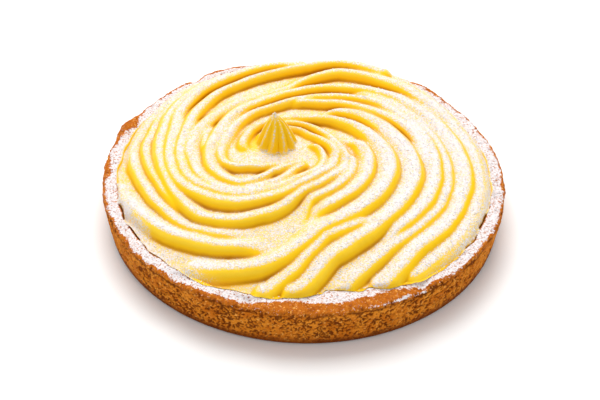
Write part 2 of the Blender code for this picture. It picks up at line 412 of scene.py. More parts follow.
@dataclass
class Shell:
    """The baked shell.

    Its crumb is a net of creases and pits in the wall.  The top of the wall is a smoother,
    browner band whose lower edge stands proud of a groove.
    """

    opening: Opening
    rim_radius: float = 110 * MM
    foot_radius: float = 107 * MM
    foot_rounding: float = 1.6 * MM
    rim_rounding: float = 2.4 * MM
    rim_zone: float = 1 * MM
    grid: float = 0.5 * MM
    steps: int = 1240

    chip_reach: float = 6 * MM
    chip_inset: float = 0.6
    chip_width: float = 4 * MM
    lip_width: float = 1.2 * MM
    lip_drop: float = 0.7 * MM

    relief_starts: float = 0.4 * MM
    relief_full: float = 1.9 * MM
    foot_relief_starts: float = 0.64 * MM
    foot_relief_full: float = 2.64 * MM
    swell: Unevenness = Unevenness(8 * MM, 7.0)
    swell_height: float = 0.5 * MM
    grain: Unevenness = Unevenness(0.9 * MM, 2.0)
    grain_depth: float = 0.14 * MM

    blotches: Unevenness = Unevenness(5 * MM, 21.0, octaves=3)
    band_height: float = 1.5 * MM
    band_wander: float = 1.1 * MM
    band_ease: float = 0.9 * MM
    band_proud: float = 0.55 * MM
    band_crumb: float = 0.3
    bumps: Unevenness = Unevenness(3 * MM, 9.0, octaves=3)
    bump_squash: float = 1.8
    bump_height: float = 0.45 * MM
    groove_drop: float = 0.9 * MM
    groove_width: float = 0.6 * MM
    groove_breaks: Unevenness = Unevenness(12 * MM, 41.0)
    groove_share: float = 0.55
    groove_limits: Limits = (0.1, 0.9)

    creases: Unevenness = Unevenness(2.5 * MM, 11.0, octaves=2)
    crease_gaps: Unevenness = Unevenness(2.5 * MM, 31.0)
    crease_fades: Limits = (-0.3, 0.0)
    crease_stretch: float = 0.85
    crease_width: float = 0.22
    pits: Unevenness = Unevenness(1.5 * MM, 5.0, octaves=2)
    pit_limits: Limits = (0.12, 0.37)
    patches: Unevenness = Unevenness(14 * MM, 3.0)
    patch_share: float = 0.85
    patch_sway: float = 0.7
    patch_limits: Limits = (0.5, 1.0)
    crumb_depth: float = 0.85 * MM

    thickest_sugar: float = 0.62
    least_sugar: float = 0.28
    bare_edge: float = 0.5 * MM
    sugar_wander: float = 1.5 * MM
    sugar_ease: float = 2 * MM
    dusty_edge: Stretch = Stretch(300.0, 15.0)
    dusty_edge_from: float = 1.4 * MM
    dusty_edge_width: float = 0.8 * MM
    dusty_edge_sugar: float = 0.9
    level_enough: float = 0.6
    brown_reach: float = 1 * MM
    brown_wander: float = 1.5 * MM
    brown_ease: float = 2 * MM
    foot_wander: float = 2 * MM
    dark_foot: float = 8 * MM
    foot_shade: float = 0.6
    crack_shade: float = 0.6

    def section(self) -> list[tuple[float, float]]:
        """Section of the shell from the middle of its floor round to its underside.

        Returns:
            The radius and height of each point.
        """
        inner = self.opening.radius
        shoulder = RIM_HEIGHT - self.rim_rounding
        points = [(0.0, FLOOR_THICKNESS), (inner - self.opening.draft, FLOOR_THICKNESS)]
        flat = self.rim_radius - self.rim_rounding - inner
        for i in range(round(flat / self.grid)):
            points.append((inner + i * self.grid, RIM_HEIGHT))
        arc_steps = round(self.rim_rounding * math.pi / 2.0 / self.grid)
        for i in range(arc_steps + 1):
            turn = math.pi / 2.0 * i / arc_steps
            points.append((inner + flat + self.rim_rounding * math.sin(turn),
                           shoulder + self.rim_rounding * math.cos(turn)))
        wall_steps = round((shoulder - self.foot_rounding) / self.grid)
        for i in range(1, wall_steps + 1):
            share = i / wall_steps
            points.append((self.rim_radius + (self.foot_radius - self.rim_radius) * share,
                           shoulder + (self.foot_rounding - shoulder) * share))
        for turn in (math.pi / 6.0, math.pi / 3.0, math.pi / 2.0):
            points.append((self.foot_radius - self.foot_rounding * (1.0 - math.cos(turn)),
                           self.foot_rounding * (1.0 - math.sin(turn))))
        return points + [(0.0, 0.0)]

    def read(self, piece: bpy.types.Object) -> ShellPoints:
        """Read the turned piece's points.

        Args:
            piece: The shell as it is turned.

        Returns:
            Its points, with the way that each faces, out and up.
        """
        points = mesh_points(piece)
        x, y, z = points.T
        radius, angle = np.hypot(x, y), np.arctan2(y, x)
        shoulder_radius = self.rim_radius - self.rim_rounding
        out = np.clip((radius - shoulder_radius) / self.rim_rounding, 0.0, 1.0)
        up = np.clip((z - RIM_HEIGHT + self.rim_rounding) / self.rim_rounding, 0.0, 1.0)
        length = np.maximum(np.hypot(out, up), TINY)
        return ShellPoints(points, radius, angle, np.degrees(angle), z, out / length,
                           up / length, self.blotches.at(points))

    def widened(self, at: ShellPoints) -> np.ndarray:
        """Radii once the plain round opening has the real opening's outline.

        Args:
            at: The shell's points.

        Returns:
            The radius of each point.
        """
        inner = self.opening.radius
        widen = inner - self.opening.radius_at(at.angle)
        across = np.clip((at.radius - inner) / (self.rim_radius - inner), 0.0, 1.0)
        on_rim = at.z > RIM_HEIGHT - self.rim_zone
        off_axis = (at.radius > CLOSE) & (at.radius < inner + CLOSE)
        in_hollow = off_axis & (at.z > FLOOR_THICKNESS / 2.0)
        return at.radius - widen * (1.0 - across) * (on_rim | in_hollow)

    def chips(self, at: ShellPoints) -> np.ndarray:
        """Depth of the flakes missing from the rim's edge.

        Args:
            at: The shell's points.

        Returns:
            The depth at each point, below zero where the edge is raised.
        """
        inner = self.opening.radius
        depth = sum(chip.amount * chip.share(at.degrees) for chip in CHIPS)
        depth = depth * ramp(at.z, RIM_HEIGHT - self.chip_reach, RIM_HEIGHT)
        return depth * ramp(at.radius, inner, inner + self.chip_width)

    def hollows(self, at: ShellPoints, band: np.ndarray) -> np.ndarray:
        """How deep each point lies in the crumb's creases and pits, or in the band's groove.

        Args:
            at: The shell's points.
            band: 1 on the band along the top of the wall, 0 off it.

        Returns:
            A depth for each point, from 0 to 1.
        """
        tall = at.points * np.array([1.0, 1.0, self.crease_stretch])
        crease = ramp(np.abs(self.creases.at(tall)), self.crease_width, 0.0)
        crease *= ramp(self.crease_gaps.at(tall), *self.crease_fades)
        pit = ramp(self.pits.at(at.points), *self.pit_limits)
        patch = self.patch_share + self.patch_sway * self.patches.at(at.points)
        patch = np.clip(patch, *self.patch_limits)
        crumb = np.maximum(crease, pit) * patch * (1.0 - (1.0 - self.band_crumb) * band)
        below_band = RIM_HEIGHT - self.band_height - self.band_wander * at.blotch - at.z
        groove = np.exp(-((below_band - self.groove_drop) / self.groove_width) ** 2)
        broken = self.groove_share + self.groove_breaks.at(at.points)
        return np.maximum(crumb, groove * np.clip(broken, *self.groove_limits))

    def relief(self, at: ShellPoints, band: np.ndarray, hollow: np.ndarray) -> np.ndarray:
        """How far the surface stands out from the plain one.

        Args:
            at: The shell's points.
            band: 1 on the band along the top of the wall, 0 off it.
            hollow: How deep each point lies in the crumb, from 0 to 1.

        Returns:
            The distance for each point.
        """
        flat = at.points * np.array([1.0, 1.0, self.bump_squash])
        relief = self.swell_height * self.swell.at(at.points)
        relief += self.bump_height * self.bumps.at(flat) * band
        relief += self.band_proud * band * (1.0 - at.up) - self.crumb_depth * hollow
        return relief + self.grain_depth * self.grain.at(at.points)

    def sugar(self, at: ShellPoints, inward: np.ndarray) -> np.ndarray:
        """Amount of sugar on the rim.

        Args:
            at: The shell's points.
            inward: Distance of each point in from the rim's outer edge.

        Returns:
            The amount for each point, from 0 to about 1.
        """
        bare = self.bare_edge + sum(s.amount * s.share(at.degrees) for s in BARE_STRETCHES)
        cover = ramp(inward + self.sugar_wander * at.blotch, bare, bare + self.sugar_ease)
        flakes = np.exp(-((inward - self.dusty_edge_from) / self.dusty_edge_width) ** 2)
        flakes *= self.dusty_edge.share(at.degrees, LEVEL) * (self.dusty_edge_sugar + at.blotch)
        sugar = np.maximum(np.maximum(cover, self.least_sugar), flakes)
        return sugar * ramp(at.up, 0.0, self.level_enough)

    def browned(self, at: ShellPoints) -> np.ndarray:
        """How brown the shell is, most on its band, and darker towards its foot.

        Args:
            at: The shell's points.

        Returns:
            A share for each point, from 0 to 1.
        """
        edge = RIM_HEIGHT - self.band_height - self.brown_reach
        rim = ramp(at.z + self.brown_wander * at.blotch, edge, edge + self.brown_ease)
        foot = ramp(at.z - self.foot_wander * at.blotch, self.dark_foot, 0.0)
        return np.maximum(rim, foot)

    def build(self) -> bpy.types.Object:
        """Turn the shell, then give it its opening, chips, band and crumb.

        Returns:
            The shell, with its sugar, its painted shade and its browning stored.
        """
        piece = turned("baked_crust", self.section(), self.steps)
        at = self.read(piece)
        inner = self.opening.radius
        outside = ramp(at.radius, inner + self.relief_starts, inner + self.relief_full)
        outside *= ramp(at.z, self.foot_relief_starts, self.foot_relief_full)
        band_edge = RIM_HEIGHT - self.band_height
        band = ramp(at.z + self.band_wander * at.blotch, band_edge, band_edge + self.band_ease)
        hollow = self.hollows(at, band)
        relief = self.relief(at, band, hollow) * outside
        chips = self.chips(at) * outside
        lip = np.clip(1.0 - (at.radius - inner) / self.lip_width, 0.0, 1.0)
        lip *= self.opening.parted(at.angle) * (at.z > RIM_HEIGHT - CLOSE)

        radius = self.widened(at) - self.chip_inset * chips + relief * at.out
        height = at.z - chips + relief * at.up - self.lip_drop * lip
        move_points(piece, np.column_stack((radius * np.cos(at.angle),
                                            radius * np.sin(at.angle), height)))
        only(piece)
        bpy.ops.object.shade_smooth()

        sugar = self.sugar(at, self.rim_radius - radius)
        store(piece, Stored.SUGAR, self.thickest_sugar * sugar * (1.0 - lip))
        # Painted shade: the crumb's hollows, the groove under the band, the foot of the wall and
        # the crack are stored to be darkened.
        foot = self.foot_shade * ramp(at.z, self.dark_foot, 0.0)
        store(piece, Stored.PAINTED_SHADE, np.maximum(np.maximum(hollow, foot), self.crack_shade * lip))
        store(piece, Stored.BROWNED, self.browned(at))
        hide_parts("crust")
        return piece


# ---- Cream ----


@dataclass(frozen=True)
class Rope:
    """One piped rope, in degrees and millimetres.

    The start is the angle and radius of its first end, and radii are its radius at each spoke
    that it then meets, anticlockwise.  Its last end is at the last spoke, or at its own angle
    and radius past that.
    """

    start: tuple[float, float]
    radii: tuple[float, ...]
    height: float
    half_width: float
    end: tuple[float, float] | None = None


ROPES = (
    Rope((190, 100), (98, 86, 73), 5.4, 6.4, end=(264, 70)),
    Rope((269, 56), (42, 38, 34), 4.8, 5.6, end=(362, 26)),
    Rope((274, 55), (49, 45, 42, 35), 5.2, 6.2, end=(384, 27)),
    Rope((236, 96), (85, 60, 55, 52, 46, 37, 27, 25, 25, 25, 22), 5.8, 7.0),
    Rope((259, 97), (65,), 5.0, 5.8, end=(317, 60)),
    Rope((268, 95), (75, 66, 64, 58, 50), 5.6, 7.0, end=(432, 31)),
    Rope((283, 95), (92, 79, 80, 78, 75, 66), 4.2, 5.2),
    Rope((294, 97), (87, 88, 87, 81, 68, 53, 47, 43, 45, 41, 22, 17, 16), 5.4, 6.8),
    Rope((297, 79), (74, 74, 73, 69, 55, 42, 38, 36, 38, 26, 18, 16), 5.2, 6.0),
    Rope((305, 97), (96, 95, 95, 92, 88, 59, 57, 58, 54, 47, 31, 20, 17), 4.8, 6.6),
    Rope((345, 68), (70, 60, 48), 5.0, 5.2, end=(462, 42)),
    Rope((63, 98), (97, 85, 76, 65, 61, 50, 36, 26, 24, 19, 12), 5.0, 6.0),
    Rope((93, 96), (94, 89, 73, 67, 56, 41, 30, 27, 26, 20, 16, 16, 17, 17, 16), 5.2, 6.4),
    Rope((116, 94), (93, 81, 72, 69, 52, 35, 32, 31, 25, 23, 22, 21, 20), 4.8, 5.6),
    Rope((127, 98), (97, 90, 77, 72), 3.4, 4.4),
    Rope((132, 100), (100, 98, 85, 78, 63), 3.6, 4.6),
    Rope((142, 56), (50, 47, 45), 3.4, 3.6),
)

# Places where the ropes melt together, and the share by which they are lower there.
CALM_SPOTS = (
    Spot(-36 * MM, 10 * MM, 15 * MM, 0.4),
    Spot(19 * MM, -10 * MM, 8 * MM, 0.5),
)


@dataclass(frozen=True)
class Swirl:
    """Height of the piped cream.

    Round lines about the middle of the tart drift towards the eye of the swirl as they shrink,
    and spokes cross them every spoke_step degrees.
    """

    eye_x: float = -12.5 * MM
    eye_y: float = 6 * MM
    radius: float = 97 * MM
    edge_lift: float = -1.0 * MM
    dome_rise: float = 15 * MM
    back_lift: float = 5 * MM
    back_from_y: float = 20 * MM
    back_to_y: float = 100 * MM
    back_heap: Stretch = Stretch(60.0, 32.0, 3.5 * MM)
    back_ropes_taller: float = 0.35

    first_spoke: float = 15.0
    spoke_step: float = 30.0
    slant_step: float = 1.0
    blend: float = 0.8 * MM
    fullness: float = 0.6
    lean: float = 0.42
    side_lean: float = 0.75
    rim_start_share: float = 0.8
    rim_start_from: float = 90 * MM
    rim_rise_angle: float = 10.0
    middle_rise_angle: float = 22.0
    fade_angle: float = 18.0
    round_end_angle: float = 20.0
    full_width_from: float = 50 * MM
    least_width: float = 0.15
    full_height_from: float = 40 * MM
    least_height: float = 0.6

    peak_x: float = -15.2 * MM
    peak_y: float = 8 * MM
    peak_height: float = 19.5 * MM
    peak_radius: float = 11.6 * MM
    peak_bulge: float = 1.7
    tip_height: float = 2.5 * MM
    tip_width: float = 0.12
    tip_shift: float = -1.8 * MM
    peak_ribs: int = 9
    rib_depth: float = 0.2
    rib_twist: float = 0.5
    rib_sugar: float = 0.32
    rib_sugar_sharpness: int = 14
    rib_sugar_fades: Limits = (1.1, 0.7)
    tip_sugar: float = 0.55
    tip_sugar_reach: float = 0.2
    peak_foot: Limits = (0.9, 1.05)

    def coordinates(self, x: np.ndarray, y: np.ndarray) -> tuple[np.ndarray, np.ndarray]:
        """Where places are on the drifting round lines.

        Args:
            x: The places' x in metres.
            y: The places' y in metres.

        Returns:
            The radius and the angle in degrees of each place.
        """
        reach = self.radius ** 2 - self.eye_x ** 2 - self.eye_y ** 2
        along = (x - self.eye_x) * self.eye_x + (y - self.eye_y) * self.eye_y
        apart = (x - self.eye_x) ** 2 + (y - self.eye_y) ** 2
        share = (along + np.sqrt(along ** 2 + reach * apart)) / reach
        angle = np.arctan2(y - (1.0 - share) * self.eye_y, x - (1.0 - share) * self.eye_x)
        return share * self.radius, np.degrees(angle) % 360.0

    def stations(self, rope: Rope) -> tuple[np.ndarray, np.ndarray]:
        """The places that a rope passes, its start first.

        Args:
            rope: The rope.

        Returns:
            The angle in degrees and the radius of each.
        """
        spokes_passed = math.floor((rope.start[0] - self.first_spoke) / self.spoke_step) + 1
        next_spoke = self.first_spoke + self.spoke_step * spokes_passed
        angles = [rope.start[0]]
        angles += [next_spoke + self.spoke_step * i for i in range(len(rope.radii))]
        radii = [rope.start[1], *rope.radii]
        if rope.end:
            angles.append(rope.end[0])
            radii.append(rope.end[1])
        return np.array(angles, float), np.array(radii, float) * MM

    @staticmethod
    def rope_radius(angles: np.ndarray, radii: np.ndarray, at: np.ndarray) -> np.ndarray:
        """Radius of a rope at some angles, smooth and never beyond its stations.

        Args:
            angles: The stations' angles in degrees.
            radii: The stations' radii.
            at: Angles in degrees, none outside the stations.

        Returns:
            The radius at each angle.
        """
        span = np.diff(angles)
        slope = np.diff(radii) / span
        tangent = np.zeros(len(radii))
        tangent[0] = slope[0]
        tangent[-1] = slope[-1]
        for i in range(1, len(radii) - 1):
            if slope[i - 1] * slope[i] > 0.0:
                before = 2.0 * span[i] + span[i - 1]
                after = span[i] + 2.0 * span[i - 1]
                tangent[i] = (before + after) / (before / slope[i - 1] + after / slope[i])
        i = np.clip(np.searchsorted(angles, at) - 1, 0, len(span) - 1)
        t = (at - angles[i]) / span[i]
        chord = (1.0 + 2.0 * t) * (1.0 - t) ** 2 * radii[i] + t * t * (3.0 - 2.0 * t) * radii[i + 1]
        bow = t * (1.0 - t) ** 2 * tangent[i] - t * t * (1.0 - t) * tangent[i + 1]
        return chord + span[i] * bow

    def rope_relief(self, rope: Rope, radius: np.ndarray, degrees: np.ndarray) -> np.ndarray:
        """Height that one rope adds: a rounded crown across it.

        At the rim it starts with a low round end, and farther in it grows out of the cream.

        Args:
            rope: The rope.
            radius: Radius of each place on the drifting round lines.
            degrees: Angle of each place.

        Returns:
            The height added at each place.
        """
        angles, radii = self.stations(rope)
        first, last = angles[0], angles[-1]
        start_share, rise_angle = 0.0, self.middle_rise_angle
        if radii[0] > self.rim_start_from:
            start_share, rise_angle = self.rim_start_share, self.rim_rise_angle
        spoke = np.radians(degrees)
        outwards = np.clip(self.side_lean * np.cos(spoke) ** 2 - np.sin(spoke), -1.0, 1.0)
        relief = np.zeros_like(radius)
        for turn in range(math.ceil(last / 360.0) + 1):
            at = degrees + 360.0 * turn
            on_rope = np.clip(at, first, last)
            middle = self.rope_radius(angles, radii, on_rope)
            later = np.clip(on_rope + self.slant_step, first, last)
            earlier = np.clip(on_rope - self.slant_step, first, last)
            drift = self.rope_radius(angles, radii, later)
            drift -= self.rope_radius(angles, radii, earlier)
            slant = drift / math.radians(2.0 * self.slant_step) / middle
            across = (radius - middle) / np.sqrt(1.0 + slant ** 2)
            before_start = np.radians(np.maximum(first - at, 0.0)) * middle
            full = np.clip(middle / self.full_width_from, 0.0, 1.0)
            width_share = self.least_width + (1.0 - self.least_width) * full
            half_width = rope.half_width * MM * width_share
            side = np.clip(across / half_width, -1.0, 1.0)
            side = across / half_width - self.lean * outwards * (1.0 - side ** 2)
            share = np.hypot(side, before_start / half_width)
            full = np.clip(middle / self.full_height_from, 0.0, 1.0)
            crown = rope.height * MM * (self.least_height + (1.0 - self.least_height) * full)
            crown = crown * np.clip(1.0 - share ** 2, 0.0, 1.0) ** self.fullness
            risen = ramp(at, first, first + rise_angle)
            crown *= start_share + (1.0 - start_share) * risen
            crown *= ramp(at, last, last - self.fade_angle)
            near = (at > first - self.round_end_angle) & (at < last)
            relief = np.where(near, np.maximum(relief, crown), relief)
        return relief

    def on_peak(self, x: np.ndarray, y: np.ndarray) -> tuple[np.ndarray, np.ndarray]:
        """Where places are on the ribbed peak.

        Args:
            x: The places' x in metres.
            y: The places' y in metres.

        Returns:
            The distance from its middle line, 1 at its foot, and 1 on ribs to 0 between them.
        """
        out = np.hypot(x - self.peak_x, y - self.peak_y) / self.peak_radius
        middle = self.peak_x + self.tip_shift * np.clip(1.0 - out, 0.0, 1.0)
        out = np.hypot(x - middle, y - self.peak_y) / self.peak_radius
        angle = np.arctan2(y - self.peak_y, x - middle)
        rib = np.abs(np.cos(self.peak_ribs * 0.5 * (angle + self.rib_twist * out)))
        return out / (1.0 - self.rib_depth * (1.0 - rib)), rib

    def peak(self, x: np.ndarray, y: np.ndarray) -> np.ndarray:
        """Height of the ribbed peak above its foot.

        Args:
            x: The places' x in metres.
            y: The places' y in metres.

        Returns:
            The height at each place, below zero outside the peak.
        """
        out, _ = self.on_peak(x, y)
        tip = self.tip_height * np.exp(-out / self.tip_width)
        return self.peak_height * (1.0 - out ** self.peak_bulge) + tip

    def off_peak(self, x: np.ndarray, y: np.ndarray) -> np.ndarray:
        """0 on the peak and 1 off it."""
        return ramp(self.on_peak(x, y)[0], *self.peak_foot)

    def peak_sugar(self, x: np.ndarray, y: np.ndarray) -> np.ndarray:
        """Sugar that clings to the peak: on its tip and along its ribs.

        Args:
            x: The places' x in metres.
            y: The places' y in metres.

        Returns:
            The amount at each place, from 0 to 1.
        """
        out, rib = self.on_peak(x, y)
        on_ribs = self.rib_sugar * rib ** self.rib_sugar_sharpness
        on_ribs = on_ribs * ramp(out, *self.rib_sugar_fades)
        return np.maximum(on_ribs, self.tip_sugar * np.exp(-(out / self.tip_sugar_reach) ** 2))

    def relief(self, x: np.ndarray, y: np.ndarray) -> np.ndarray:
        """Height that all the ropes add.

        Args:
            x: The places' x in metres.
            y: The places' y in metres.

        Returns:
            The height added at each place.
        """
        radius, degrees = self.coordinates(x, y)
        relief = np.zeros_like(radius)
        for rope in ROPES:
            relief = smooth_max(relief, self.rope_relief(rope, radius, degrees), self.blend)
        for spot in CALM_SPOTS:
            relief *= 1.0 - spot.amount * spot.share(x, y)
        return relief * (1.0 + self.back_ropes_taller * self.at_back(y))

    def at_back(self, y: np.ndarray) -> np.ndarray:
        """0 at the front, easing to 1 at the back."""
        return ramp(y, self.back_from_y, self.back_to_y)

    def dome(self, x: np.ndarray, y: np.ndarray) -> np.ndarray:
        """Height above the table of the cream that the ropes lie on.

        Args:
            x: The places' x in metres.
            y: The places' y in metres.

        Returns:
            The height at each place.
        """
        radius, degrees = self.coordinates(x, y)
        heap = self.back_heap.amount * self.back_heap.share(degrees)
        lift = self.back_lift * self.at_back(y) + heap
        share = radius / self.radius
        return RIM_HEIGHT + self.edge_lift + self.dome_rise * (1.0 - share ** 2) + lift * share ** 4


# Places with more sugar than around them, or with less where the amount is below zero.
DRIFTS = (
    Spot(60 * MM, -30 * MM, 45 * MM, 0.25),
    Spot(80 * MM, 30 * MM, 35 * MM, 0.2),
    Spot(-15 * MM, -56 * MM, 22 * MM, -0.14),
    Spot(-10 * MM, 75 * MM, 55 * MM, -0.22),
    Spot(8 * MM, 12 * MM, 25 * MM, -0.15),
    Spot(-92 * MM, -42 * MM, 12 * MM, 0.5),
    Spot(-80 * MM, -62 * MM, 13 * MM, 0.5),
    Spot(-64 * MM, -78 * MM, 13 * MM, 0.5),
    Spot(-28 * MM, 8 * MM, 8 * MM, -0.35),
)


@dataclass(frozen=True)
class Dusting:
    """How much icing sugar lies on the cream, from 0 to 1."""

    base: float = 0.59
    broad_unevenness: Unevenness = Unevenness(22 * MM, 8.0, octaves=2)
    broad_share: float = 0.12
    patchiness: Unevenness = Unevenness(6 * MM, 18.0)
    patch_share: float = 0.15
    side_share: float = 1.2
    facing_share: float = 0.5
    facing_from: float = 0.1
    bare_from: float = 0.02
    bare_at: float = 0.26
    blur: float = 0.6 * MM

    def amount(self, x: np.ndarray, y: np.ndarray) -> np.ndarray:
        """Amount of sugar that falls on places on the tart.

        Args:
            x: The places' x in metres.
            y: The places' y in metres.

        Returns:
            The amount at each place.
        """
        total = self.base + sum(drift.amount * drift.share(x, y) for drift in DRIFTS)
        flat = flat_points(x, y)
        total += self.broad_share * self.broad_unevenness.at(flat)
        return total + self.patch_share * self.patchiness.at(flat)

    def exposed(self, heights: HeightMap) -> HeightMap:
        """Share of it that stays: none on steep faces, and less on those to the front or sides.

        Args:
            heights: The cream's heights.

        Returns:
            The share on the same grid, from 0 to 1.
        """
        rise_y, rise_x = np.gradient(heights.rows, heights.cell)
        flatness = 1.0 / np.sqrt(1.0 + rise_x ** 2 + rise_y ** 2)
        sideways = self.side_share * np.linspace(-1.0, 1.0, len(heights.rows))[None, :]
        facing = (rise_y - rise_x * sideways) * flatness / np.sqrt(1.0 + sideways ** 2)
        steep = 1.0 - flatness + self.facing_share * np.clip(facing - self.facing_from, 0.0, 1.0)
        share = 1.0 - ramp(steep, self.bare_from, self.bare_at)
        return HeightMap(share, heights.cell).softened(self.blur)


@dataclass(frozen=True)
class CreamPoints:
    """Where the cream's points are, seen from above.

    Inside is the distance in from the edge, parted how far the cream has come away from the
    shell there, and front 1 at the front of the tart and 0 elsewhere.
    """

    x: np.ndarray
    y: np.ndarray
    on_top: np.ndarray
    at_bottom: np.ndarray
    inside: np.ndarray
    parted: np.ndarray
    front: np.ndarray


@dataclass
class Cream:
    """The lemon cream, filled into the shell and piped over its top.

    A low lip of cream hides the joint to the shell, except where the cream has come away.  At
    the front the ropes' ends swell over the rim.
    """

    opening: Opening
    swirl: Swirl
    dusting: Dusting
    cells: int = 300
    sharp_angle: float = 60.0
    map_reach: float = 112 * MM
    map_cells: int = 560
    softness: float = 0.42 * MM
    crest_reach: float = 1.8 * MM
    crest_height: float = 3.2 * MM
    slow_sway: tuple[Unevenness, Unevenness] = (Unevenness(16 * MM, 14.0),
                                                Unevenness(16 * MM, 15.0))
    sway: float = 0.9 * MM
    wobble: Unevenness = Unevenness(9 * MM, 4.0)
    wobble_height: float = 0.25 * MM
    ripple: Unevenness = Unevenness(3 * MM, 6.0)
    ripple_height: float = 0.12 * MM

    lip: float = 0.5 * MM
    lip_thickness: float = 0.35 * MM
    edge_height: float = 0.4 * MM
    edge_width: float = 2.5 * MM
    front: Stretch = Stretch(279.0, 44.0)
    end_bulge: float = 3.6 * MM
    full_rope: float = 4 * MM
    bulge_from: float = 0.35
    crack_width: float = 0.4 * MM
    crack_depth: float = 0.7 * MM
    crack_sharpness: float = 0.5

    crack_shadow_width: float = 0.6 * MM
    sugared_edge: float = 8 * MM
    edge_sugar: float = 0.85
    crest_sugar: float = 0.9
    powder: Unevenness = Unevenness(0.9 * MM, 12.0)
    powder_depth: float = 0.2 * MM
    powder_share: float = 0.6
    powder_from_edge: float = 1 * MM
    bare_front_below: float = 0.4

    def round_grid(self) -> bpy.types.Object:
        """A disc with even cells: a square grid whose squares become rings.

        Returns:
            The disc, of radius 1 at height 1.
        """
        bpy.ops.object.select_all(action="DESELECT")
        bpy.ops.mesh.primitive_grid_add(x_subdivisions=self.cells, y_subdivisions=self.cells,
                                        size=2.0)
        piece = bpy.context.object
        piece.name = "piped_lemon_cream"
        u, v, _ = mesh_points(piece).T
        wide = np.abs(u) >= np.abs(v)
        reach = np.where(wide, u, v)
        safe = np.where(reach == 0.0, 1.0, reach)
        turn = math.pi / 4.0 * np.where(wide, v, u) / safe
        x = reach * np.where(wide, np.cos(turn), np.sin(turn))
        y = reach * np.where(wide, np.sin(turn), np.cos(turn))
        move_points(piece, np.column_stack((x, y, np.ones_like(x))))
        return piece

    def close_underneath(self, piece: bpy.types.Object) -> None:
        """Extrude the disc's edge down to heights 0.5 and 0, and close it at 0.

        Args:
            piece: The disc.
        """
        only(piece)
        bpy.ops.object.mode_set(mode="EDIT")
        bpy.ops.mesh.select_mode(type="EDGE")
        bpy.ops.mesh.select_all(action="DESELECT")
        bpy.ops.mesh.select_non_manifold()
        for _ in range(2):
            bpy.ops.mesh.extrude_region_move(TRANSFORM_OT_translate={"value": (0.0, 0.0, -0.5)})
        bpy.ops.mesh.edge_face_add()
        bpy.ops.mesh.poke()
        bpy.ops.mesh.select_all(action="SELECT")
        bpy.ops.mesh.normals_make_consistent(inside=False)
        bpy.ops.object.mode_set(mode="OBJECT")

    def maps(self) -> tuple[HeightMap, HeightMap]:
        """Work out the ropes on a fine grid.

        Returns:
            The ropes' relief, and how far each place is open to sugar.
        """
        side = np.linspace(-self.map_reach, self.map_reach, self.map_cells + 1)
        x, y = np.meshgrid(side, side)
        relief = HeightMap(self.swirl.relief(x, y), side[1] - side[0]).softened(self.softness)
        whole = HeightMap(relief.rows + self.swirl.dome(x, y), relief.cell)
        return relief, self.dusting.exposed(whole)

    def swayed(self, x: np.ndarray, y: np.ndarray) -> tuple[np.ndarray, np.ndarray]:
        """Places moved a little to and fro, so that no rope runs quite evenly.

        Args:
            x: The places' x in metres.
            y: The places' y in metres.

        Returns:
            The moved places' x and y.
        """
        flat = flat_points(x, y)
        along_x, along_y = self.slow_sway
        return x + self.sway * along_x.at(flat), y + self.sway * along_y.at(flat)

    def spread(self, disc: np.ndarray, relief_map: HeightMap) -> CreamPoints:
        """Fit the disc's points to the shell's opening.

        Args:
            disc: Rows of x, y and level, from 1 on top to 0 at the bottom.
            relief_map: The ropes' relief.

        Returns:
            The points as they lie, seen from above.
        """
        x, y, level = disc.T
        on_top, at_bottom = level > 0.75, level < 0.25
        angle = np.arctan2(y, x)
        opening = self.opening.radius_at(angle)
        parted = self.opening.parted(angle)
        front = self.front.share(np.degrees(angle), LEVEL)
        near_edge = opening - self.edge_width
        beside = relief_map.at(*self.swayed(near_edge * np.cos(angle), near_edge * np.sin(angle)))
        on_rope = np.clip(beside / self.full_rope, 0.0, 1.0)
        bulge = self.end_bulge * (on_rope - self.bulge_from) * front
        lip = self.lip + bulge - (self.lip + self.crack_width) * parted
        fit = opening - FIT_GAP
        reach = np.where(on_top, opening + lip, fit - self.crack_width * parted)
        reach = np.where(at_bottom, fit - self.opening.draft, reach)
        x, y = x * reach, y * reach
        return CreamPoints(x, y, on_top, at_bottom, reach - np.hypot(x, y), parted, front)

    def heights(self, at: CreamPoints, relief: np.ndarray) -> np.ndarray:
        """Height of each point: the piped top, rounded off at its edge, and the underside.

        Args:
            at: The cream's points.
            relief: Height that the ropes add at each.

        Returns:
            The heights above the table.
        """
        flat = flat_points(at.x, at.y)
        wobble = self.wobble_height * self.wobble.at(flat)
        wobble += self.ripple_height * self.ripple.at(flat)
        top = self.swirl.dome(at.x, at.y) + wobble
        top += np.maximum(relief, self.swirl.peak(at.x, at.y))
        rounding = self.edge_width * (1.0 - self.crack_sharpness * at.parted)
        outward = np.clip(1.0 - at.inside / rounding, 0.0, 1.0)
        edge = RIM_HEIGHT + self.edge_height - self.crack_depth * at.parted
        top += (edge - top) * (1.0 - np.sqrt(1.0 - outward ** 2))
        height = np.where(at.on_top, top, edge - self.lip_thickness)
        return np.where(at.at_bottom, FLOOR_THICKNESS + FIT_GAP, height)

    def sugar(self, at: CreamPoints, exposed: np.ndarray, raised: np.ndarray,
              upright: np.ndarray) -> np.ndarray:
        """Amount of sugar on each point.

        Args:
            at: The cream's points.
            exposed: How far each is open to sugar, from 0 to 1.
            raised: How far each stands above its surroundings.
            upright: The upward part of each normal.

        Returns:
            The amounts, 0 below the top.
        """
        amount = self.dusting.amount(at.x, at.y) + self.crest_sugar * raised
        at_edge = (1.0 - at.front) * ramp(at.inside, self.sugared_edge, 0.0)
        exposed = np.maximum(exposed, self.edge_sugar * at_edge)
        sugar = amount * exposed * self.swirl.off_peak(at.x, at.y)
        sugar += self.swirl.peak_sugar(at.x, at.y)
        bare = at.front * ramp(upright, self.bare_front_below, 0.0)
        return sugar * (1.0 - bare) * at.on_top

